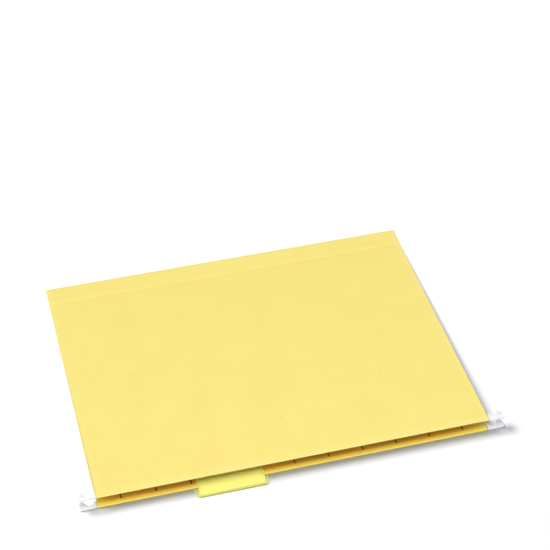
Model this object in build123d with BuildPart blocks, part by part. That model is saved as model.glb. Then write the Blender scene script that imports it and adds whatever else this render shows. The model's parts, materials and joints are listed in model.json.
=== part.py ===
from build123d import *
import math
import os

# Hanging file folder, lying on its back panel with the front panel a little open.
# Millimetres. X runs along the rods, +Y from the open edge to the folded bottom, +Z up.
# The origin is the centre of the back panel's underside.

# Sheet
panel_width = 298.45
panel_depth = 234.95
paper = 0.28
score_pitch = 9.5
fold_gap = 0.3
open_height = 12.4

# Folded edge over the rod
flap_ramp = 4.0
flap_margin = 2.0
glue_thickness = 0.1
glue_width = 6.0
glue_end_margin = 6.0
glue_edge_margin = 1.0

# Row of slits along the back panel's folded edge
slit_count = 11
slit_end_margin = 18.2
slit_width = 1.2
slit_length = 6.0
slit_margin = 0.3

# Steel rod with hooked ends
rod_thickness = 0.9
rod_width = 3.2
rod_clearance = 0.03
hook_core = 2.0

# Plastic sheath on each hooked end
sheath_gap = 0.4
sheath_wall = 0.6
sheath_root = 1.2
sheath_root_rise = 1.2
sheath_corner = 0.7
notch_width = 7.0
tip_width = 4.5
tip_depth = 7.2

# Vinyl tab and its label
vinyl = 0.4
tab_slit_left = -2
tab_slit_right = -1
tab_side_margin = 0.4
tab_window_width = 50.0
tab_back_width = 55.5
tab_back_corner = 3.0
tab_reach = 8.8
tab_clearance = 0.3
tab_edge_gap = 0.5
tab_lip_margin = 2.0
tongue_length = 2.6
tongue_end_clearance = 0.15
tongue_clearance = 0.2
label_thickness = 0.2
label_clearance = 0.05
label_headroom = 0.15
label_side_margin = 1.0
label_lip_margin = 0.6

# Heights and places that follow from the sizes above
fold_height = 2 * paper + rod_thickness + 2 * rod_clearance
flap_base = paper + glue_thickness
stack_height = 2 * paper + fold_gap
near_edge = -panel_depth / 2
bottom_edge = panel_depth / 2
back_length = panel_depth - score_pitch
front_length = panel_depth - 2 * score_pitch
front_score = bottom_edge - 2 * score_pitch
open_angle = math.asin((open_height - stack_height) / front_length)

# The rod's square edge sits inside the rounded fold
fold_radius = fold_height / 2
fold_inner = fold_radius - paper
rod_edge = fold_radius - math.sqrt(fold_inner**2 - (rod_thickness / 2)**2) + rod_clearance
slit_start = rod_edge + rod_width + slit_margin
slit_middle = slit_start + slit_length / 2
ramp_start = rod_edge + rod_width + rod_clearance
ramp_end = ramp_start + flap_ramp
glue_start = slit_start + slit_length + glue_edge_margin
flap_depth = glue_start + glue_width + flap_margin
slit_pitch = (panel_width - 2 * slit_end_margin) / (slit_count - 1)
rod_base = paper + rod_clearance


# Panel planes: origin at the middle of the open edge on the outer face,
# local Y towards the folded bottom, local Z towards the inside of the folder.
back_plane = Plane(origin=(0, near_edge, 0), x_dir=(1, 0, 0), z_dir=(0, 0, 1))
front_edge_y = front_score - front_length * math.cos(open_angle)
front_normal = (0, -math.sin(open_angle), -math.cos(open_angle))
front_plane = Plane(origin=(0, front_edge_y, open_height), x_dir=(-1, 0, 0), z_dir=front_normal)


def profile_plane(plane):
    return Plane(origin=plane.origin, x_dir=plane.y_dir, z_dir=plane.x_dir)


def make_panel(plane, length, has_slits):
    # Sheet folded over the rod, its flap ramping down to the glued stretch
    with BuildPart() as panel:
        with BuildSketch(profile_plane(plane)):
            with BuildLine():
                Line((length, paper), (length, 0))
                Line((length, 0), (fold_radius, 0))
                ThreePointArc((fold_radius, 0), (0, fold_radius), (fold_radius, fold_height))
                Polyline(
                    (fold_radius, fold_height),
                    (ramp_start, fold_height),
                    (ramp_end, flap_base + paper),
                    (flap_depth, flap_base + paper),
                    (flap_depth, flap_base),
                    (ramp_end, flap_base),
                    (ramp_start, fold_height - paper),
                    (fold_radius, fold_height - paper),
                )
                ThreePointArc((fold_radius, fold_height - paper), (paper, fold_radius), (fold_radius, paper))
                Line((fold_radius, paper), (length, paper))
            make_face()
        extrude(amount=panel_width / 2, both=True)
        if has_slits:
            with BuildSketch(plane):
                with Locations((0, slit_middle)):
                    with GridLocations(slit_pitch, 1, slit_count, 1):
                        Rectangle(slit_width, slit_length)
            extrude(amount=fold_height, mode=Mode.SUBTRACT)
    return panel


def hook_core_sketch(side):
    # Steel hook at one rod end: the neck over the notch and the tip that drops past it
    neck_start = panel_width / 2
    tip_start = neck_start + sheath_gap + sheath_root + notch_width + sheath_wall
    tip_end = neck_start + sheath_gap + sheath_root + notch_width + tip_width - sheath_wall
    with Locations((side * (neck_start + tip_end) / 2, rod_edge + hook_core / 2)):
        Rectangle(tip_end - neck_start, hook_core)
    with Locations((side * (tip_start + tip_end) / 2, (rod_edge + tip_depth - sheath_wall) / 2)):
        Rectangle(tip_end - tip_start, tip_depth - sheath_wall - rod_edge)


def make_rod(plane):
    with BuildPart() as rod:
        with BuildSketch(plane.offset(rod_base)):
            with Locations((0, rod_edge + rod_width / 2)):
                Rectangle(panel_width, rod_width)
            hook_core_sketch(-1)
            hook_core_sketch(1)
        extrude(amount=rod_thickness)
    return rod


def make_hook(plane, side):
    # Sheath moulded round the steel hook, with an arched notch for the rail
    root_start = panel_width / 2 + sheath_gap
    notch_start = root_start + sheath_root
    tip_end = notch_start + notch_width + tip_width
    notch_middle = side * (notch_start + notch_width / 2)
    arch_middle = rod_edge + hook_core + sheath_wall + notch_width / 2
    with BuildPart() as hook:
        with BuildSketch(plane):
            with Locations((side * (root_start + tip_end) / 2, tip_depth / 2)):
                Rectangle(tip_end - root_start, tip_depth)
            with Locations((side * (root_start + notch_start) / 2, tip_depth - sheath_root_rise / 2)):
                Rectangle(sheath_root, sheath_root_rise, mode=Mode.SUBTRACT)
            with Locations((notch_middle, arch_middle)):
                Circle(notch_width / 2, mode=Mode.SUBTRACT)
            with Locations((notch_middle, arch_middle + notch_width / 2)):
                Rectangle(notch_width, notch_width, mode=Mode.SUBTRACT)
        extrude(amount=rod_base + rod_thickness + sheath_wall)
        tip_edges = hook.edges().filter_by(Axis(plane.origin, plane.z_dir))
        tip_edges = tip_edges.sort_by(Axis((0, 0, 0), plane.x_dir * side))[-2:]
        fillet(tip_edges, radius=sheath_corner)
        with BuildSketch(plane.offset(rod_base)):
            hook_core_sketch(side)
        extrude(amount=rod_thickness, mode=Mode.SUBTRACT)
    return hook


def make_glue_line(plane):
    with BuildPart() as glue:
        with BuildSketch(plane.offset(paper)):
            with Locations((0, glue_start + glue_width / 2)):
                Rectangle(panel_width - 2 * glue_end_margin, glue_width)
        extrude(amount=glue_thickness)
    return glue


def make_strip(start, base):
    # Strip of the sheet between two scores of the folded bottom
    with BuildPart() as strip:
        with BuildSketch(Plane.XY.offset(base)):
            with Locations((0, start + score_pitch / 2)):
                Rectangle(panel_width, score_pitch)
        extrude(amount=paper)
    return strip


def write_piece(piece, name):
    piece.part.label = name
    export_step(piece.part, f"parts/{name}.step")


os.makedirs("parts", exist_ok=True)

# Panels, rods, hooks and glue, alike on both sides of the folder but for the back panel's slits
write_piece(make_panel(back_plane, back_length, has_slits=True), "back_panel")
write_piece(make_panel(front_plane, front_length, has_slits=False), "front_panel")
for name, plane in (("back", back_plane), ("front", front_plane)):
    write_piece(make_rod(plane), f"{name}_rod")
    write_piece(make_glue_line(plane), f"{name}_glue_line")
    for side_name, side in (("left", -1), ("right", 1)):
        write_piece(make_hook(plane, side * round(plane.x_dir.X)), f"{name}_hook_{side_name}")

# Folded bottom: back strip, front strip above it, and the outer front strip that carries the front panel
upper_layer = paper + fold_gap
write_piece(make_strip(bottom_edge - score_pitch, 0), "gusset_back")
write_piece(make_strip(bottom_edge - score_pitch, upper_layer), "gusset_front")
write_piece(make_strip(bottom_edge - 2 * score_pitch, upper_layer), "gusset_front_outer")

# Tab: window wall and lip over the folded edge, turned at the nose into a wider back wall
tab_pocket = label_thickness + label_clearance + label_headroom
nose_height = 2 * vinyl + tab_pocket
nose_radius = nose_height / 2
nose_middle = nose_radius - tab_reach
wall_base = fold_height + tab_clearance
lip_depth = slit_start + slit_length + tab_lip_margin
tab_right = tab_slit_right * slit_pitch + slit_width / 2 + tab_side_margin
tab_middle = tab_right - tab_window_width / 2
tab_plane = Plane(origin=(tab_middle, near_edge, 0), x_dir=(1, 0, 0), z_dir=(0, 0, 1))

with BuildPart() as tab:
    with BuildSketch(profile_plane(tab_plane)):
        with BuildLine():
            Polyline(
                (nose_middle, nose_height),
                (0, wall_base + vinyl),
                (lip_depth, wall_base + vinyl),
                (lip_depth, wall_base),
                (0, wall_base),
                (nose_middle, nose_height - vinyl),
            )
            ThreePointArc(
                (nose_middle, nose_height - vinyl),
                (nose_middle - tab_pocket / 2, nose_radius),
                (nose_middle, vinyl),
            )
            Line((nose_middle, vinyl), (nose_middle, 0))
            ThreePointArc((nose_middle, 0), (-tab_reach, nose_radius), (nose_middle, nose_height))
        make_face()
    extrude(amount=tab_window_width / 2, both=True)
    back_wall = -tab_edge_gap - nose_middle
    with BuildSketch(tab_plane) as back_outline:
        with Locations((0, nose_middle + back_wall / 2)):
            Rectangle(tab_back_width, back_wall)
        fillet(back_outline.vertices().sort_by(Axis.Y)[:2], radius=tab_back_corner)
    extrude(amount=vinyl)

    # Tongues that stand at the inner ends of two slits of the back panel
    tongue_end = slit_start + slit_length - tongue_clearance
    tongue_middle = near_edge + tongue_end - tongue_length / 2
    with BuildSketch(Plane.XY.offset(tongue_end_clearance)):
        with Locations(*[(index * slit_pitch, tongue_middle) for index in (tab_slit_left, tab_slit_right)]):
            Rectangle(slit_width - 2 * tongue_clearance, tongue_length)
    extrude(amount=wall_base - tongue_end_clearance)
write_piece(tab, "tab")

# Label slip under the window wall: up its slope, then flat over the folded edge as far as the tongues
label_start = nose_middle + label_clearance
label_end = tongue_end - tongue_length - label_lip_margin
label_top = wall_base - label_clearance
label_nose_top = nose_height - vinyl - label_clearance
with BuildPart() as tab_insert:
    with BuildSketch(profile_plane(tab_plane)):
        with BuildLine():
            Polyline(
                (label_start, label_nose_top),
                (0, label_top),
                (label_end, label_top),
                (label_end, label_top - label_thickness),
                (0, label_top - label_thickness),
                (label_start, label_nose_top - label_thickness),
                close=True,
            )
        make_face()
    extrude(amount=tab_window_width / 2 - label_side_margin, both=True)
write_piece(tab_insert, "tab_insert")
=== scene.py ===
import json
import math

import bmesh
import bpy
import numpy as np
from mathutils import Matrix, Vector, noise


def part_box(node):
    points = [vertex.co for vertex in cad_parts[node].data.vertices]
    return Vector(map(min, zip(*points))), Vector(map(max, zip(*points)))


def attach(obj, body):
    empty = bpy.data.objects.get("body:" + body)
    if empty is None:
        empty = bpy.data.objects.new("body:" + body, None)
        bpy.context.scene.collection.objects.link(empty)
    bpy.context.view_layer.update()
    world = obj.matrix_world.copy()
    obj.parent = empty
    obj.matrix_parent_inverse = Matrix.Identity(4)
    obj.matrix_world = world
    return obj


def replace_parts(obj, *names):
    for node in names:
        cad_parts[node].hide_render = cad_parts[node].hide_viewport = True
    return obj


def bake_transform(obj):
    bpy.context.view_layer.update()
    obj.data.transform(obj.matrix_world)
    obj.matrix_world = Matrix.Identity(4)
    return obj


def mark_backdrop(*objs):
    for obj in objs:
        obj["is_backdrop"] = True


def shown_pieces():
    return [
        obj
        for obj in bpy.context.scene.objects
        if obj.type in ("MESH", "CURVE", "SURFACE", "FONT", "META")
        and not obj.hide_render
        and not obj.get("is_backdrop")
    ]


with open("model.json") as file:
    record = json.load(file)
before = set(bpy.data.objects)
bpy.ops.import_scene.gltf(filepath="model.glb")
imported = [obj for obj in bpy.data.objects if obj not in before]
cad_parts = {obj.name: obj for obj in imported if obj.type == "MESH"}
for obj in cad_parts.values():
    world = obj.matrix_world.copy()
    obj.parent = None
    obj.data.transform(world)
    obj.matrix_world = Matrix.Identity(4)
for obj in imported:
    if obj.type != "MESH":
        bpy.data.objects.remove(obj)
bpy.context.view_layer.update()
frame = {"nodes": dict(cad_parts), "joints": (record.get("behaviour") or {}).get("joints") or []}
joints = {joint["name"]: joint for joint in frame["joints"]}
mm = 0.001

# Sizes of the folder, read from the frame
panel_low, panel_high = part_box("back_panel")
strip_low, strip_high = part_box("gusset_back")
outer_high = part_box("gusset_front_outer")[1]
front_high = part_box("front_panel")[1]
glue_low, glue_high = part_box("back_glue_line")
hook_low, hook_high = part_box("back_hook_right")
tab_low, tab_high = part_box("tab")
label_low, label_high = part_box("tab_insert")
paper = strip_high.z - strip_low.z
half_width = panel_high.x
near_edge = panel_low.y
bottom_edge = strip_high.y
fold_height = panel_high.z
stack_height = outer_high.z
score_y = joints["back_score"]["pos_m"][1]
front_hinge = Vector(joints["front_open"]["pos_m"])
strip_depth = bottom_edge - score_y
front_length = front_hinge.y - near_edge
open_angle = math.asin((front_high.z - front_hinge.z) / front_length)

# Sizes of the folded edge that no box of the frame gives
flap_margin = 2.0 * mm
ramp_start = 3.85 * mm
ramp_end = 7.85 * mm
ramp_rounding = 0.8 * mm
slit_start = 4.12 * mm
slit_end = 10.12 * mm
slit_width = 1.2 * mm
slit_count = 11
slit_end_margin = 18.2 * mm

# Scores: width, depth of the groove, and its stations as shares of the half width
score_width = 0.9 * mm
score_bead = 0.05 * mm
score_shares = (-1.0, -0.6, -0.3, 0.0, 0.3, 0.6, 1.0)

# Meshing of the sheets
grid_step = 7.0 * mm
station_spacing = 0.4 * mm
column_spacing = 0.7 * mm
arc_step = math.radians(9)
sheet_sharp = math.radians(35)
moulded_sharp = math.radians(40)
negligible = 1e-6

# Unevenness of the sheets: height, scales, and how it fades towards the folds
wave_height = 0.12 * mm
wave_scale_x = 11.0
wave_scale_y = 9.0
wave_near_start, wave_near_end = 0.03, 0.07
wave_far_start, wave_far_end = 0.06, 0.025
back_wave_seed = 1.0
front_wave_seed = 7.0

# Painted shade on the stock, as levels: 0 is the card's own outside colour, the rim level a painted shade on
# the folded rim and 1 a deep painted shade in the mouth of the pocket; inner faces get a slight painted
# shade
# Slight painted shade on the inner faces of the card
inside_shade_tone = 0.15
# Level of the painted shade on the folded rim
rim_shade_tone = 0.4
mouth_shade_end_level = 0.2
mouth_shade_end_reach = 12.0 * mm
mouth_start, mouth_full = 1.1 * mm, 4.8 * mm
# Reach of the painted shade on the folded rim
rim_full, rim_end = 2.0 * mm, 3.0 * mm
# Where the painted shade starts on the front panel's flap
front_flap_start, front_flap_full = 0.6 * mm, 3.0 * mm
# Paler front fold: wear together with a painted highlight
front_wear_and_highlight_full, front_wear_and_highlight_end = 0.3 * mm, 1.6 * mm
# Paler back fold: a painted highlight on the fold's face
back_highlight_full, back_highlight_end = 0.2 * mm, 1.0 * mm
side_wear_reach = 3.0 * mm
side_wear = 0.5
cut_edge_look = {"painted_shade": 0.0, "wear_and_highlight": 0.15, "score": 0.0, "dense": 1.0, "fold": 0.5}
texture_side_shift = 0.02

flap_middle = paper + (glue_high.z - glue_low.z) + paper / 2
flap_depth = glue_high.y - near_edge + flap_margin
fold_middle = fold_height - paper / 2
fold_bend = (fold_height - paper) / 2
slit_pitch = (2 * half_width - 2 * slit_end_margin) / (slit_count - 1)
slit_centres = [(index - (slit_count - 1) / 2) * slit_pitch for index in range(slit_count)]


# Materials

white = (1.0, 1.0, 1.0, 1.0)
noise_low, noise_high = 0.3, 0.7

outside_dark, outside_light = (0.930, 0.765, 0.208, 1.0), (0.948, 0.787, 0.226, 1.0)
# Painted shade for the mouth of the pocket, in two mottled tones
mouth_shade_dark, mouth_shade_light = (0.87, 0.49, 0.062, 1.0), (0.89, 0.51, 0.070, 1.0)
# Painted shade for the folded rim
rim_shade_colour = (0.93, 0.72, 0.080, 1.0)
fibre_colour = (0.97, 0.88, 0.40, 1.0)
strand_colour = (0.80, 0.58, 0.12, 1.0)
fleck_colour = (0.42, 0.27, 0.055, 1.0)
# Paler colour for worn edges, also used as a painted highlight on the folds
worn_and_highlight_colour = (0.97, 0.87, 0.34, 1.0)
# Painted shade in the score grooves
score_shade_colour = (0.62, 0.42, 0.07, 1.0)
mottle_scale = 38.0
fibre_scale, fibre_stretch = 420.0, (1.0, 5.0, 1.0)
grain_scale = 2600.0
strand_scale, strand_stretch = 900.0, (4.0, 1.0, 1.0)
fleck_scale = 46.0
fleck_chance = 0.90
fleck_core, fleck_edge, fleck_strength = 0.010, 0.024, 0.6
# Strength of the painted shade in the scores
score_shade_tint = 0.07
pale_fibres = (0.56, 0.74, 0.0, 0.24)
dark_strands = (0.60, 0.76, 0.0, 0.20)
wear_and_highlight_fibres = (0.35, 0.65, 0.25, 0.6)
stock_roughness = (0.62, 0.78)
stock_specular = 0.28
grain_bump, grain_depth = 0.30, 0.00006
fibre_bump, fibre_depth = 0.22, 0.0001
plain_depth = 0.00005
clear_alpha, dense_alpha = 0.05, 0.85
vinyl_colour = (0.97, 0.935, 0.30)
vinyl_fold_colour = (0.76, 0.71, 0.10, 1.0)


def new_material(name):
    material = bpy.data.materials.new(name)
    material.use_nodes = True
    nodes = material.node_tree.nodes
    return material, nodes, material.node_tree.links, nodes["Principled BSDF"]


def add_mix(nodes, links, factor, low, high):
    mix = nodes.new("ShaderNodeMix")
    mix.data_type = "RGBA"
    for socket, value in (("Factor", factor), ("A", low), ("B", high)):
        target = next(s for s in mix.inputs if s.name == socket and (s.type == "RGBA" or socket == "Factor"))
        if isinstance(value, bpy.types.NodeSocket):
            links.new(value, target)
        else:
            target.default_value = value
    return next(s for s in mix.outputs if s.type == "RGBA")


def add_math(nodes, links, operation, first, second):
    node = nodes.new("ShaderNodeMath")
    node.operation = operation
    for socket, value in zip(node.inputs, (first, second)):
        if isinstance(value, bpy.types.NodeSocket):
            links.new(value, socket)
        else:
            socket.default_value = value
    return node.outputs[0]


def add_range(nodes, links, value, low, high, out_low=0.0, out_high=1.0):
    node = nodes.new("ShaderNodeMapRange")
    node.inputs["From Min"].default_value = low
    node.inputs["From Max"].default_value = high
    node.inputs["To Min"].default_value = out_low
    node.inputs["To Max"].default_value = out_high
    links.new(value, node.inputs["Value"])
    return node.outputs["Result"]


def add_noise(nodes, links, vector, scale, detail=2.0, stretch=(1.0, 1.0, 1.0)):
    mapping = nodes.new("ShaderNodeMapping")
    mapping.inputs["Scale"].default_value = stretch
    links.new(vector, mapping.inputs["Vector"])
    texture = nodes.new("ShaderNodeTexNoise")
    texture.inputs["Scale"].default_value = scale
    texture.inputs["Detail"].default_value = detail
    links.new(mapping.outputs["Vector"], texture.inputs["Vector"])
    return texture.outputs["Fac"]


def add_attribute(nodes, name, output):
    node = nodes.new("ShaderNodeAttribute")
    node.attribute_name = name
    return node.outputs[output]


def add_bump(nodes, links, height, strength, distance, normal=None):
    bump = nodes.new("ShaderNodeBump")
    bump.inputs["Strength"].default_value = strength
    bump.inputs["Distance"].default_value = distance
    links.new(height, bump.inputs["Height"])
    if normal is not None:
        links.new(normal, bump.inputs["Normal"])
    return bump.outputs["Normal"]


def add_seen(nodes, links):
    # 1 where the camera, a reflection or a clear piece looks at the surroundings
    path = nodes.new("ShaderNodeLightPath")
    mirrored = add_math(
        nodes, links, "MAXIMUM", path.outputs["Is Glossy Ray"], path.outputs["Is Transmission Ray"])
    return add_math(nodes, links, "MAXIMUM", path.outputs["Is Camera Ray"], mirrored)


def make_stock():
    # Dyed card with fibres, mottle and sparse flecks, with painted shade on the inner faces, the folded rim,
    # the pocket's mouth and the scores, and paler folds from wear and a painted highlight
    material, nodes, links, shader = new_material("yellow_stock")
    flat = add_attribute(nodes, "flat", "Vector")
    # Attributes: the level of painted shade, wear together with a painted highlight, and the score lines
    painted_shade = add_attribute(nodes, "painted_shade", "Fac")
    wear_and_highlight = add_attribute(nodes, "wear_and_highlight", "Fac")
    score = add_attribute(nodes, "score", "Fac")
    mottle = add_noise(nodes, links, flat, mottle_scale, 3.0)
    fibre = add_noise(nodes, links, flat, fibre_scale, 4.0, fibre_stretch)
    grain = add_noise(nodes, links, flat, grain_scale, 3.0)
    patches = add_range(nodes, links, mottle, noise_low, noise_high)
    outside = add_mix(nodes, links, patches, outside_dark, outside_light)
    mouth_shade = add_mix(nodes, links, patches, mouth_shade_dark, mouth_shade_light)
    # Painted shade: golden on the folded rim, deep orange in the pocket's mouth
    colour = add_mix(nodes, links, add_range(nodes, links, painted_shade, 0.0, rim_shade_tone), outside, rim_shade_colour)
    colour = add_mix(nodes, links, add_range(nodes, links, painted_shade, rim_shade_tone, 1.0), colour, mouth_shade)
    pale = add_range(nodes, links, fibre, *pale_fibres)
    colour = add_mix(nodes, links, pale, colour, fibre_colour)
    strand = add_noise(nodes, links, flat, strand_scale, 2.0, strand_stretch)
    dark = add_range(nodes, links, strand, *dark_strands)
    colour = add_mix(nodes, links, dark, colour, strand_colour)
    fleck = nodes.new("ShaderNodeTexVoronoi")
    fleck.voronoi_dimensions = "2D"
    fleck.inputs["Scale"].default_value = fleck_scale
    links.new(flat, fleck.inputs["Vector"])
    chance = nodes.new("ShaderNodeSeparateColor")
    links.new(fleck.outputs["Color"], chance.inputs["Color"])
    chosen = add_math(nodes, links, "GREATER_THAN", chance.outputs["Red"], fleck_chance)
    spot = add_range(nodes, links, fleck.outputs["Distance"], fleck_core, fleck_edge, fleck_strength, 0.0)
    colour = add_mix(nodes, links, add_math(nodes, links, "MULTIPLY", chosen, spot), colour, fleck_colour)
    # Wear on the edges and a painted highlight on the folds, broken up by the fibres
    wear_and_highlight_spread = add_range(nodes, links, fibre, *wear_and_highlight_fibres)
    colour = add_mix(nodes, links, add_math(nodes, links, "MULTIPLY", wear_and_highlight, wear_and_highlight_spread), colour, worn_and_highlight_colour)
    # Painted shade along the score grooves
    score_shade = add_math(nodes, links, "MULTIPLY", score, score_shade_tint)
    colour = add_mix(nodes, links, score_shade, colour, score_shade_colour)
    links.new(colour, shader.inputs["Base Color"])
    roughness = add_range(nodes, links, grain, noise_low, noise_high, *stock_roughness)
    links.new(roughness, shader.inputs["Roughness"])
    shader.inputs["Specular IOR Level"].default_value = stock_specular
    normal = add_bump(nodes, links, grain, grain_bump, grain_depth)
    normal = add_bump(nodes, links, fibre, fibre_bump, fibre_depth, normal)
    links.new(normal, shader.inputs["Normal"])
    return material


def make_plain(name, colour, roughness, metallic=0.0, specular=0.5, scale=900.0, spread=0.06, bump=0.05):
    # One colour with a fine grain in its tone, its roughness and its surface
    material, nodes, links, shader = new_material(name)
    place = nodes.new("ShaderNodeTexCoord").outputs["Object"]
    grain = add_noise(nodes, links, place, scale, 3.0)
    low = tuple(c * (1.0 - spread) for c in colour) + (1.0,)
    high = tuple(colour) + (1.0,)
    tone = add_mix(nodes, links, add_range(nodes, links, grain, noise_low, noise_high), low, high)
    links.new(tone, shader.inputs["Base Color"])
    sheen = add_range(nodes, links, grain, noise_low, noise_high, roughness * 0.9, roughness * 1.1)
    links.new(sheen, shader.inputs["Roughness"])
    shader.inputs["Metallic"].default_value = metallic
    shader.inputs["Specular IOR Level"].default_value = specular
    links.new(add_bump(nodes, links, grain, bump, plain_depth), shader.inputs["Normal"])
    return material, shader


stock = make_stock()
steel, _ = make_plain("rod_steel", (0.62, 0.62, 0.61), 0.34, metallic=1.0, scale=1500.0, spread=0.15)
plastic, plastic_shader = make_plain("hook_plastic", (0.93, 0.93, 0.925), 0.42, spread=0.03)
plastic_shader.inputs["Subsurface Weight"].default_value = 0.5
plastic_shader.inputs["Subsurface Radius"].default_value = (1.0, 1.0, 1.0)
plastic_shader.inputs["Subsurface Scale"].default_value = 0.0015
glue, _ = make_plain("glue", (0.78, 0.70, 0.42), 0.35, scale=500.0)
card, _ = make_plain("label_card", (0.97, 0.925, 0.25), 0.62, specular=0.3, scale=700.0, spread=0.05)
vinyl, vinyl_shader = make_plain("tab_vinyl", vinyl_colour, 0.16, scale=260.0, spread=0.02, bump=0.03)
vinyl_nodes, vinyl_links = vinyl.node_tree.nodes, vinyl.node_tree.links
dense = add_attribute(vinyl_nodes, "dense", "Fac")
vinyl_links.new(add_range(vinyl_nodes, vinyl_links, dense, 0.0, 1.0, clear_alpha, dense_alpha),
                vinyl_shader.inputs["Alpha"])
vinyl_tone = vinyl_shader.inputs["Base Color"].links[0].from_socket
folded = add_attribute(vinyl_nodes, "fold", "Fac")
vinyl_links.new(add_mix(vinyl_nodes, vinyl_links, folded, vinyl_tone, vinyl_fold_colour),
                vinyl_shader.inputs["Base Color"])


# Sheets


def smooth_step(value, low, high):
    t = min(max((value - low) / (high - low), 0.0), 1.0)
    return t * t * (3 - 2 * t)


def straight_points(start, end, stops, step):
    # Even steps from start to end, with the stops along the first axis put in
    length = (end - start).length
    count = max(1, math.ceil(length / step))
    span = end.x - start.x
    marks = [(stop - start.x) / span for stop in stops] if abs(span) > negligible else []
    marks = [mark for mark in marks if 0.0 < mark < 1.0]
    shares = [index / count for index in range(1, count)]
    shares = [share for share in shares
              if all(abs(share - mark) * length > station_spacing for mark in marks)]
    return [start.lerp(end, share) for share in sorted({0.0, 1.0, *shares, *marks})]


def rounded_path(corners, radii, stops=(), step=grid_step):
    # Stations (point, direction) along a polyline with rounded corners
    corners = [Vector(corner) for corner in corners]
    stations = []
    start = corners[0]
    for index in range(1, len(corners)):
        along = (corners[index] - corners[index - 1]).normalized()
        end = corners[index]
        turn = 0.0
        if index < len(corners) - 1:
            after = (corners[index + 1] - corners[index]).normalized()
            turn = math.atan2(along.x * after.y - along.y * after.x, along.dot(after))
            radius = radii[index - 1]
            end = end - along * radius * math.tan(abs(turn) / 2)
        if (end - start).length > negligible:
            points = straight_points(start, end, stops, step)
            stations += [(point, along) for point in points[1 if stations else 0:]]
        elif not stations:
            stations.append((start, along))
        if turn:
            side = math.copysign(1.0, turn)
            centre = end + Vector((-along.y, along.x)) * side * radius
            count = max(2, math.ceil(abs(turn) / arc_step))
            for part in range(1, count + 1):
                spin = Matrix.Rotation(turn * part / count, 2)
                stations.append((centre + spin @ (end - centre), spin @ along))
            start = stations[-1][0]
        else:
            start = end
    return stations


def finish_mesh(name, verts, faces, material):
    mesh = bpy.data.meshes.new(name)
    mesh.from_pydata(verts, [], faces)
    mesh.update()
    work = bmesh.new()
    work.from_mesh(mesh)
    bmesh.ops.recalc_face_normals(work, faces=work.faces[:])
    work.to_mesh(mesh)
    work.free()
    mesh.shade_smooth()
    mesh.set_sharp_from_angle(angle=sheet_sharp)
    mesh.materials.append(material)
    piece = bpy.data.objects.new(name, mesh)
    bpy.context.scene.collection.objects.link(piece)
    return piece


def make_sheet(name, stations, columns, thickness, material, is_hole=None, lift=None, look=None,
               channels=("painted_shade", "wear_and_highlight", "score")):
    # An even sheet along stations in (y, z), each with its row of x values; its first side is the inner one
    rows = [columns(index) for index in range(len(stations))]
    high, wide = len(rows), len(rows[0])
    travel = [0.0]
    for index in range(1, high):
        travel.append(travel[-1] + (stations[index][0] - stations[index - 1][0]).length)
    verts, flat, looks = [], [], []
    for side in (1, -1):
        for index, (point, along) in enumerate(stations):
            across = Vector((-along.y, along.x))
            for x in rows[index]:
                rise = lift(x, point) if lift else 0.0
                spot = point + across * (side * thickness / 2 + rise)
                verts.append((x, spot.x, spot.y))
                flat.append((x, travel[index], texture_side_shift * side))
                looks.append(look(x, point, index, side) if look else ())
    kept = np.ones((high - 1, wide - 1), bool)
    if is_hole:
        for i in range(high - 1):
            for j in range(wide - 1):
                middle = (stations[i][0] + stations[i + 1][0]) / 2
                kept[i, j] = not is_hole((rows[i][j] + rows[i][j + 1]) / 2, middle)
    faces, is_rim = [], []
    back = high * wide
    for i, j in zip(*np.nonzero(kept)):
        i, j = int(i), int(j)
        ring = (i * wide + j, i * wide + j + 1, (i + 1) * wide + j + 1, (i + 1) * wide + j)
        faces += [ring, tuple(back + v for v in reversed(ring))]
        is_rim += [False, False]
        beside = ((i - 1, j), (i, j + 1), (i + 1, j), (i, j - 1))
        for edge, (a, b) in enumerate(beside):
            if not (0 <= a < high - 1 and 0 <= b < wide - 1 and kept[a, b]):
                first, second = ring[edge], ring[(edge + 1) % 4]
                faces.append((second, first, back + first, back + second))
                is_rim.append(True)
    used = sorted({v for face in faces for v in face})
    place = {old: new for new, old in enumerate(used)}
    used_verts = [verts[v] for v in used]
    used_faces = [[place[v] for v in face] for face in faces]
    piece = finish_mesh(name, used_verts, used_faces, material)
    mesh = piece.data
    mesh.attributes.new("flat", "FLOAT_VECTOR", "POINT").data.foreach_set(
        "vector", np.array([flat[v] for v in used], np.float32).ravel())
    for channel, label in enumerate(channels):
        values = np.zeros(len(mesh.loops), np.float32)
        for polygon in mesh.polygons:
            for loop in polygon.loop_indices:
                look_value = looks[used[mesh.loops[loop].vertex_index]][channel]
                values[loop] = cut_edge_look[label] if is_rim[polygon.index] else look_value
        mesh.attributes.new(label, "FLOAT", "CORNER").data.foreach_set("value", values)
    return piece


def even_columns(start, end, stops=()):
    count = math.ceil((end - start) / grid_step)
    columns = [start + (end - start) * index / count for index in range(count + 1)]
    for stop in stops:
        columns = [x for x in columns if abs(x - stop) > column_spacing or x in (start, end)]
    return sorted(columns + list(stops))


def wave(x, y, seed):
    # The slight unevenness of a card sheet, none at its folds and scores
    fade = smooth_step(y, near_edge + wave_near_start, near_edge + wave_near_end)
    fade *= 1 - smooth_step(y, score_y - wave_far_start, score_y - wave_far_end)
    return wave_height * fade * noise.noise(Vector((x * wave_scale_x, y * wave_scale_y, seed)))


def wear_level(x):
    # The side edges of the sheet are a little rubbed
    return smooth_step(abs(x), half_width - side_wear_reach, half_width) * side_wear


def score_level(y, line):
    return smooth_step(1.0 - abs(y - line) / (score_width / 2), 0.0, 1.0)


def score_stops(line):
    return tuple(line + share * score_width / 2 for share in score_shares)


def mouth_shade_level(x):
    # Painted shade in the mouth of the pocket, fading out to both ends
    return mouth_shade_end_level + (1.0 - mouth_shade_end_level) * smooth_step(half_width - abs(x), 0.0, mouth_shade_end_reach)


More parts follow.
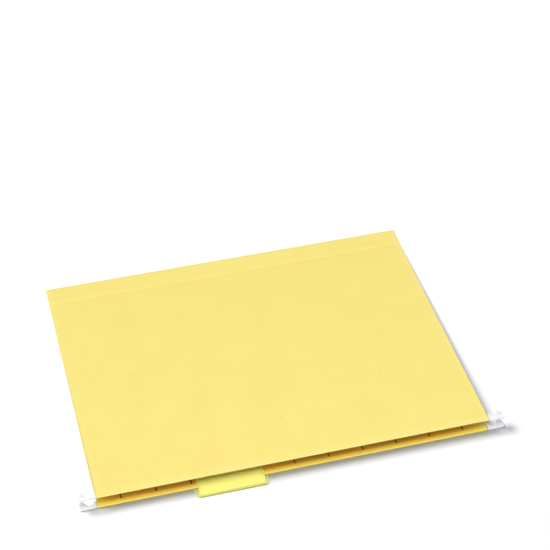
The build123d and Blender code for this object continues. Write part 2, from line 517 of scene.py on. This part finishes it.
def back_look(x, point, index, side):
    depth = point.x - near_edge
    # Slight painted shade on the inner face
    painted_shade = inside_shade_tone
    if side < 0:
        on_flap = index < back_turn
        # Deep painted shade in the pocket's mouth on the flap
        painted_shade = max(painted_shade, mouth_shade_level(x) * smooth_step(depth, mouth_start, mouth_full)) if on_flap else 0.0
    # Painted shade on the folded rim
    rim_shade = 1.0 - smooth_step(depth, rim_full, rim_end)
    # Painted highlight on the face of the fold
    bend_wear_and_highlight = 1.0 - smooth_step(depth, back_highlight_full, back_highlight_end)
    return max(painted_shade, rim_shade_tone * rim_shade), max(wear_level(x), bend_wear_and_highlight), score_level(point.x, score_y)


def back_lift(x, point):
    if point.y > paper:
        return 0.0
    return abs(wave(x, point.x, back_wave_seed)) + score_bead * score_level(point.x, score_y)


def in_slit(x, point):
    depth = point.x - near_edge
    return slit_start < depth < slit_end and any(abs(x - centre) < slit_width / 2 for centre in slit_centres)


slit_sides = [x + side * slit_width / 2 for x in slit_centres for side in (-1, 1)]
slit_stops = (near_edge + slit_start, near_edge + slit_end)
half_bend = (stack_height - paper) / 2
back_path = rounded_path(
    [(near_edge + flap_depth, flap_middle), (near_edge + ramp_end, flap_middle),
     (near_edge + ramp_start, fold_middle), (near_edge + paper / 2, fold_middle),
     (near_edge + paper / 2, paper / 2), (bottom_edge - paper / 2, paper / 2),
     (bottom_edge - paper / 2, stack_height / 2)],
    [ramp_rounding, ramp_rounding, fold_bend, fold_bend, half_bend], slit_stops + score_stops(score_y))
back_turn = min(range(len(back_path)), key=lambda index: back_path[index][0].x)
back_columns = even_columns(-half_width, half_width, slit_sides)
back_sheet = make_sheet(
    "back_sheet", back_path, lambda index: back_columns, paper, stock, in_slit, back_lift, back_look)


def bottom_lift(x, point):
    return score_bead * score_level(point.x, score_y)


def bottom_look(x, point, index, side):
    # Slight painted shade on the inner face
    return inside_shade_tone if side > 0 else 0.0, wear_level(x), score_level(point.x, score_y)


bottom_path = rounded_path(
    [(bottom_edge - paper / 2, stack_height / 2), (bottom_edge - paper / 2, stack_height - paper / 2),
     (front_hinge.y + strip_depth / 2, stack_height - paper / 2)],
    [half_bend], score_stops(score_y))
plain_columns = even_columns(-half_width, half_width)
bottom_sheet = make_sheet(
    "bottom_sheet", bottom_path, lambda index: plain_columns, paper, stock, None, bottom_lift, bottom_look)

front_along = Vector((math.cos(open_angle), -math.sin(open_angle)))
front_inward = Vector((-math.sin(open_angle), -math.cos(open_angle)))
front_origin = Vector((front_hinge.y, front_hinge.z)) - front_along * front_length


def on_front(depth, height):
    return front_origin + front_along * depth + front_inward * height


def front_lift(x, point):
    return wave(x, point.x, front_wave_seed) + score_bead * score_level(point.x, front_hinge.y)


def front_look(x, point, index, side):
    on_flap = index > front_turn
    depth = (point - front_origin).dot(front_along)
    # Slight painted shade on the inner faces, fading in on the flap
    painted_shade = inside_shade_tone if side > 0 else 0.0
    if on_flap and side < 0:
        painted_shade = inside_shade_tone * smooth_step(depth, front_flap_start, front_flap_full)
    # Wear at the front fold together with a painted highlight
    bend_wear_and_highlight = 1.0 - smooth_step(depth, front_wear_and_highlight_full, front_wear_and_highlight_end)
    return painted_shade, max(wear_level(x), bend_wear_and_highlight), 0.0 if on_flap else score_level(point.x, front_hinge.y)


front_path = rounded_path(
    [(front_hinge.y + strip_depth / 2, stack_height - paper / 2), (front_hinge.y, stack_height - paper / 2),
     on_front(paper / 2, paper / 2), on_front(paper / 2, fold_middle), on_front(ramp_start, fold_middle),
     on_front(ramp_end, flap_middle), on_front(flap_depth, flap_middle)],
    [score_width, fold_bend, fold_bend, ramp_rounding, ramp_rounding], score_stops(front_hinge.y))
front_turn = min(range(len(front_path)), key=lambda index: front_path[index][0].x)
front_sheet = make_sheet(
    "front_sheet", front_path, lambda index: plain_columns, paper, stock, None, front_lift, front_look)

for piece, first, second, line in (
    (back_sheet, "back", "back_strip", joints["back_score"]["pos_m"]),
    (bottom_sheet, "outer_strip", "front_strip", joints["front_score"]["pos_m"]),
    (front_sheet, "front", "outer_strip", joints["front_open"]["pos_m"]),
):
    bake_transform(piece)
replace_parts(back_sheet, "back_panel", "gusset_back")
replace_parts(bottom_sheet, "gusset_front", "gusset_front_outer")
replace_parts(front_sheet, "front_panel")


# Hooks

hook_root = 1.2 * mm
hook_root_rise = 1.2 * mm
hook_notch = 7.0 * mm
hook_crown = 3.223 * mm
hook_corner = 1.0 * mm
hook_rounding = 0.32 * mm
hook_rounding_steps = 3
hook_edge_angle = math.radians(30)
corner_steps = 6
notch_steps = 22
pin_radius = 0.6 * mm
pin_depth = 0.45 * mm
pin_inset = 1.5 * mm
pin_place = 0.6
pin_sides = 24


def arc_points(centre, radius, start, end, count):
    angles = [math.radians(start + (end - start) * index / count) for index in range(count + 1)]
    return [(centre[0] + radius * math.cos(a), centre[1] + radius * math.sin(a)) for a in angles]


def hook_outline():
    # Outline in (distance from the panel's middle, distance from the folded edge)
    start, end = hook_low.x, hook_high.x
    depth = hook_high.y - hook_low.y
    notch_start = start + hook_root
    notch_middle = notch_start + hook_notch / 2
    notch_radius = hook_notch / 2
    outline = [(start, 0.0)]
    outline += arc_points((end - hook_corner, hook_corner), hook_corner, -90, 0, corner_steps)
    outline += arc_points((end - hook_corner, depth - hook_corner), hook_corner, 0, 90, corner_steps)
    outline += [(notch_start + hook_notch, depth)]
    outline += arc_points((notch_middle, hook_crown + notch_radius), notch_radius, 0, -180, notch_steps)
    outline += [(notch_start, depth - hook_root_rise), (start, depth - hook_root_rise)]
    return outline


def combine(piece, work, operation):
    # Cuts the shape in a bmesh out of a piece, or joins it on
    mesh = bpy.data.meshes.new("tool")
    work.to_mesh(mesh)
    work.free()
    tool = bpy.data.objects.new("tool", mesh)
    bpy.context.scene.collection.objects.link(tool)
    change = piece.modifiers.new("tool", "BOOLEAN")
    change.operation = operation
    change.object = tool
    change.solver = "EXACT"
    shaped = bpy.data.meshes.new_from_object(piece.evaluated_get(bpy.context.evaluated_depsgraph_get()))
    piece.modifiers.remove(change)
    piece.data = shaped
    bpy.data.objects.remove(tool)
    shaped.set_sharp_from_angle(angle=moulded_sharp)


def cut_pins(piece, side, place, thickness):
    # Round mould-pin marks in both faces of the hook's tip
    spot = side * (hook_low.x + hook_root + hook_notch + pin_inset)
    depth = (hook_high.y - hook_low.y) * pin_place
    outward = (Vector(place(0, 0, 1.0)) - Vector(place(0, 0, 0.0))).normalized()
    turn = outward.to_track_quat("Z", "Y").to_matrix().to_4x4()
    work = bmesh.new()
    for height in (0.0, thickness):
        matrix = Matrix.Translation(place(spot, depth, height)) @ turn
        bmesh.ops.create_cone(work, cap_ends=True, segments=pin_sides, radius1=pin_radius,
                              radius2=pin_radius, depth=2 * pin_depth, matrix=matrix)
    combine(piece, work, "DIFFERENCE")


def make_hook(name, side, place, body):
    outline = hook_outline()
    thickness = hook_high.z - hook_low.z
    count = len(outline)
    verts = [place(side * x, depth, height) for height in (0.0, thickness) for x, depth in outline]
    faces = [list(range(count)), list(range(count, 2 * count))]
    faces += [[i, (i + 1) % count, count + (i + 1) % count, count + i] for i in range(count)]
    mesh = bpy.data.meshes.new(name)
    mesh.from_pydata(verts, [], faces)
    work = bmesh.new()
    work.from_mesh(mesh)
    bmesh.ops.recalc_face_normals(work, faces=work.faces[:])
    sharp = [edge for edge in work.edges if edge.calc_face_angle(0.0) > hook_edge_angle]
    bmesh.ops.bevel(work, geom=sharp, offset=hook_rounding, segments=hook_rounding_steps, profile=0.5,
                    affect="EDGES", clamp_overlap=True)
    work.to_mesh(mesh)
    work.free()
    mesh.shade_smooth()
    mesh.set_sharp_from_angle(angle=moulded_sharp)
    mesh.materials.append(plastic)
    piece = bpy.data.objects.new(name, mesh)
    bpy.context.scene.collection.objects.link(piece)
    cut_pins(piece, side, place, thickness)
    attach(piece, body)
    return piece


def back_place(x, depth, height):
    return (x, near_edge + depth, height)


def front_place(x, depth, height):
    spot = on_front(depth, height)
    return (x, spot.x, spot.y)


for body, place in (("back", back_place), ("front", front_place)):
    for word, side in (("left", -1), ("right", 1)):
        node = f"{body}_hook_{word}"
        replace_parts(make_hook(node + "_sheath", side, place, body), node)


# Tab and label

vinyl_wall = 0.4 * mm
tab_window = 50.0 * mm
tab_pocket = 0.4 * mm
tab_back_end = 0.5 * mm
tab_corner = 3.0 * mm
tab_clearance = 0.3 * mm
tab_rounding = 4.0 * mm
tab_step = 1.2 * mm
tab_margin_shares = [-1.0, -0.985, -0.97, -0.955, -0.94]
margin_inside, margin_outside = 0.5 * mm, 0.2 * mm
nose_full, nose_end = 0.5 * mm, 1.3 * mm
fold_full, fold_end = 0.9 * mm, 1.9 * mm
lip_fade = 1.0 * mm
wall_density = 0.3
tongue_slits = (3, 4)
tongue_width = 0.8 * mm
tongue_length = 2.6 * mm
tongue_end = slit_end - 0.2 * mm
tongue_floor = 0.15 * mm
tongue_rounding = 0.12 * mm
tongue_density = 1.0
label_thickness = 0.2 * mm
label_gap = 0.05 * mm
label_step = 1.5 * mm

tab_middle = (tab_low.x + tab_high.x) / 2
tab_half = (tab_high.x - tab_low.x) / 2
nose_height = 2 * vinyl_wall + tab_pocket
nose_y = tab_low.y + vinyl_wall / 2
wall_middle = fold_height + tab_clearance + vinyl_wall / 2
tab_bend = (nose_height - vinyl_wall) / 2
tab_path = rounded_path(
    [(tab_high.y, wall_middle), (near_edge, wall_middle), (nose_y, nose_height - vinyl_wall / 2),
     (nose_y, vinyl_wall / 2), (near_edge - tab_back_end, vinyl_wall / 2)],
    [tab_rounding, tab_bend, tab_bend], (), tab_step)
tab_turn = min(range(len(tab_path)), key=lambda index: tab_path[index][0].x)


def tab_columns(index):
    half = tab_window / 2
    if index > tab_turn:
        reach = min(max(tab_path[index][0].x - nose_y, 0.0), tab_corner)
        share = math.sqrt(max(0.0, 1.0 - (1.0 - reach / tab_corner) ** 2))
        half += (tab_half - half) * share
    shares = tab_margin_shares + [share / 10 for share in range(-9, 10)]
    shares += [-share for share in reversed(tab_margin_shares)]
    return [tab_middle + half * share for share in shares]


def tab_look(x, point, index, side):
    # Clear over the label, denser at the window's margins, nose and lip, with a deeper colour at the nose
    label_half = (label_high.x - label_low.x) / 2
    margin = smooth_step(abs(x - tab_middle), label_half - margin_inside, label_half + margin_outside)
    nose = 1.0 - smooth_step(point.x - tab_low.y, nose_full, nose_end)
    lip = smooth_step(point.x, label_high.y - lip_fade, label_high.y)
    wall = wall_density + (1.0 - wall_density) * nose
    fold = 1.0 - smooth_step(point.x - tab_low.y, fold_full, fold_end)
    density = wall if index > tab_turn else max(margin, nose, lip)
    return density, fold


tab_shell = make_sheet(
    "tab_shell", tab_path, tab_columns, vinyl_wall, vinyl, look=tab_look, channels=("dense", "fold"))
tongues = bmesh.new()
dense_layer = tongues.loops.layers.float.new("dense")
for slit in tongue_slits:
    tongue_x, tongue_y = slit_centres[slit], near_edge + tongue_end
    low = Vector((tongue_x - tongue_width / 2, tongue_y - tongue_length, tongue_floor))
    high = Vector((tongue_x + tongue_width / 2, tongue_y, wall_middle))
    size = Matrix.Diagonal(high - low).to_4x4()
    made = bmesh.ops.create_cube(tongues, size=1.0, matrix=Matrix.Translation((low + high) / 2) @ size)
    edges = list({edge for vert in made["verts"] for edge in vert.link_edges})
    bmesh.ops.bevel(tongues, geom=edges, offset=tongue_rounding, segments=2, profile=0.5, affect="EDGES")
for face in tongues.faces:
    face.smooth = True
    for loop in face.loops:
        loop[dense_layer] = tongue_density
combine(tab_shell, tongues, "UNION")
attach(tab_shell, "tab")
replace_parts(tab_shell, "tab")

label_drop = vinyl_wall / 2 + label_gap + label_thickness / 2
label_path = rounded_path(
    [(label_low.y, nose_height - vinyl_wall / 2 - label_drop), (near_edge, wall_middle - label_drop),
     (label_high.y, wall_middle - label_drop)],
    [tab_rounding], (), label_step)
label_columns = even_columns(label_low.x, label_high.x)
label_slip = make_sheet(
    "label_slip", label_path, lambda index: label_columns, label_thickness, card, channels=())
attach(label_slip, "insert")
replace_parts(label_slip, "tab_insert")

# Rods and glue lines keep their own shape
for node, material, slot in (
    ("back_rod", steel, "rod_steel"), ("front_rod", steel, "rod_steel"),
    ("back_glue_line", glue, "glue"), ("front_glue_line", glue, "glue"),
):
    piece = frame["nodes"][node]
    piece.data.materials.clear()
    piece.data.materials.append(material)


# Floor, light and camera

floor_reach = 20
floor_drop = 0.00003
floor_colour = (0.90, 0.925, 0.965)
# Painted shade seen through the slits
shade_colour = (0.50, 0.15, 0.03)
glow_start, glow_full, glow_least = 0.3, 1.6, 0.05
shade_drop = 0.000015
shade_inset = 1.5 * mm
sky_low, sky_high = 0.14, 0.38
sky_cool = (0.95, 0.98, 1.0, 1.0)
camera_place = (-0.22879, -0.89847, 0.95934)
camera_right = Vector((0.96692, -0.255027, 0.005203))
camera_up = Vector((0.17089, 0.662794, 0.729041))
camera_back = Vector((-0.189374, -0.704035, 0.684451))
scene = bpy.context.scene

# The floor is white where it is seen from far off, and keeps the shadow near the folder
floor_paint, floor_shader = make_plain(
    "floor", floor_colour, 0.9, specular=0.1, scale=40.0, spread=0.004, bump=0.0)
floor_nodes, floor_links = floor_paint.node_tree.nodes, floor_paint.node_tree.links
floor_seen = add_seen(floor_nodes, floor_links)
reach = floor_nodes.new("ShaderNodeVectorMath")
reach.operation = "LENGTH"
floor_links.new(floor_nodes.new("ShaderNodeTexCoord").outputs["Object"], reach.inputs[0])
glow = add_range(floor_nodes, floor_links, reach.outputs["Value"], glow_start, glow_full, glow_least, 1.0)
floor_shader.inputs["Emission Color"].default_value = white
floor_links.new(add_math(floor_nodes, floor_links, "MULTIPLY", floor_seen, glow),
                floor_shader.inputs["Emission Strength"])


def add_patch(name, low, high, drop, material):
    # A flat rectangle just under the folder
    mesh = bpy.data.meshes.new(name)
    corners = [(low[0], low[1], 0), (high[0], low[1], 0), (high[0], high[1], 0), (low[0], high[1], 0)]
    mesh.from_pydata(corners, [], [(0, 1, 2, 3)])
    mesh.materials.append(material)
    patch = bpy.data.objects.new(name, mesh)
    patch.location.z = -drop
    scene.collection.objects.link(patch)
    return patch


floor = add_patch("floor", (-floor_reach, -floor_reach), (floor_reach, floor_reach), floor_drop, floor_paint)

# A reddish-brown patch under the slits is painted shade, so that the slits look dark and not onto the white
# floor
shade_paint, _ = make_plain("shade", shade_colour, 0.9, specular=0.05, bump=0.0)
shade_half = half_width - shade_inset
shade_low = (-shade_half, near_edge + shade_inset)
shade_high = (shade_half, near_edge + flap_depth)
shade = add_patch("shade", shade_low, shade_high, shade_drop, shade_paint)
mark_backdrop(floor, shade)

world = bpy.data.worlds.new("studio")
world.use_nodes = True
sky_nodes, sky_links = world.node_tree.nodes, world.node_tree.links
sky_height = sky_nodes.new("ShaderNodeSeparateXYZ")
sky_links.new(sky_nodes.new("ShaderNodeTexCoord").outputs["Generated"], sky_height.inputs["Vector"])
sky_level = add_range(sky_nodes, sky_links, sky_height.outputs["Z"], 0.0, 1.0, sky_low, sky_high)
sky_seen = add_seen(sky_nodes, sky_links)
sky_tint = add_mix(sky_nodes, sky_links, sky_seen, sky_cool, white)
sky_links.new(sky_tint, sky_nodes["Background"].inputs["Color"])
sky_strength = add_math(sky_nodes, sky_links, "MAXIMUM", sky_level, sky_seen)
sky_links.new(sky_strength, sky_nodes["Background"].inputs["Strength"])
scene.world = world
scene.view_settings.view_transform = "Standard"


def add_lamp(name, direction, distance, size, energy, lit):
    lamp_data = bpy.data.lights.new(name, "AREA")
    lamp_data.shape = "DISK"
    lamp_data.size = size
    lamp_data.energy = energy
    lamp = bpy.data.objects.new(name, lamp_data)
    lamp.location = Vector(direction).normalized() * distance
    lamp.rotation_euler = Vector(direction).to_track_quat("Z", "Y").to_euler()
    scene.collection.objects.link(lamp)
    lamp.light_linking.receiver_collection = bpy.data.collections.new(name + "_lit")
    for piece in lit:
        lamp.light_linking.receiver_collection.objects.link(piece)


# The folder and the floor have lamps of their own, so that neither sets the other's level
add_lamp("overhead", (-0.12, -0.11, 0.985), distance=4.0, size=3.7, energy=70.0, lit=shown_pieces())
add_lamp("fill", (-0.16, -0.44, 0.885), distance=3.0, size=1.7, energy=41.5, lit=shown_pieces())
add_lamp("floor_wash", (-0.51, 0.39, 0.815), distance=4.0, size=2.4, energy=190.0, lit=[floor, shade])

camera_data = bpy.data.cameras.new("camera")
camera_data.lens = 110.834
camera_data.sensor_width = 36.0
camera_data.shift_x = 0.00164
camera_data.shift_y = 0.00109
camera = bpy.data.objects.new("camera", camera_data)
camera_turn = Matrix((camera_right, camera_up, camera_back)).transposed().to_4x4()
camera.matrix_world = Matrix.Translation(camera_place) @ camera_turn
scene.collection.objects.link(camera)
scene.camera = camera
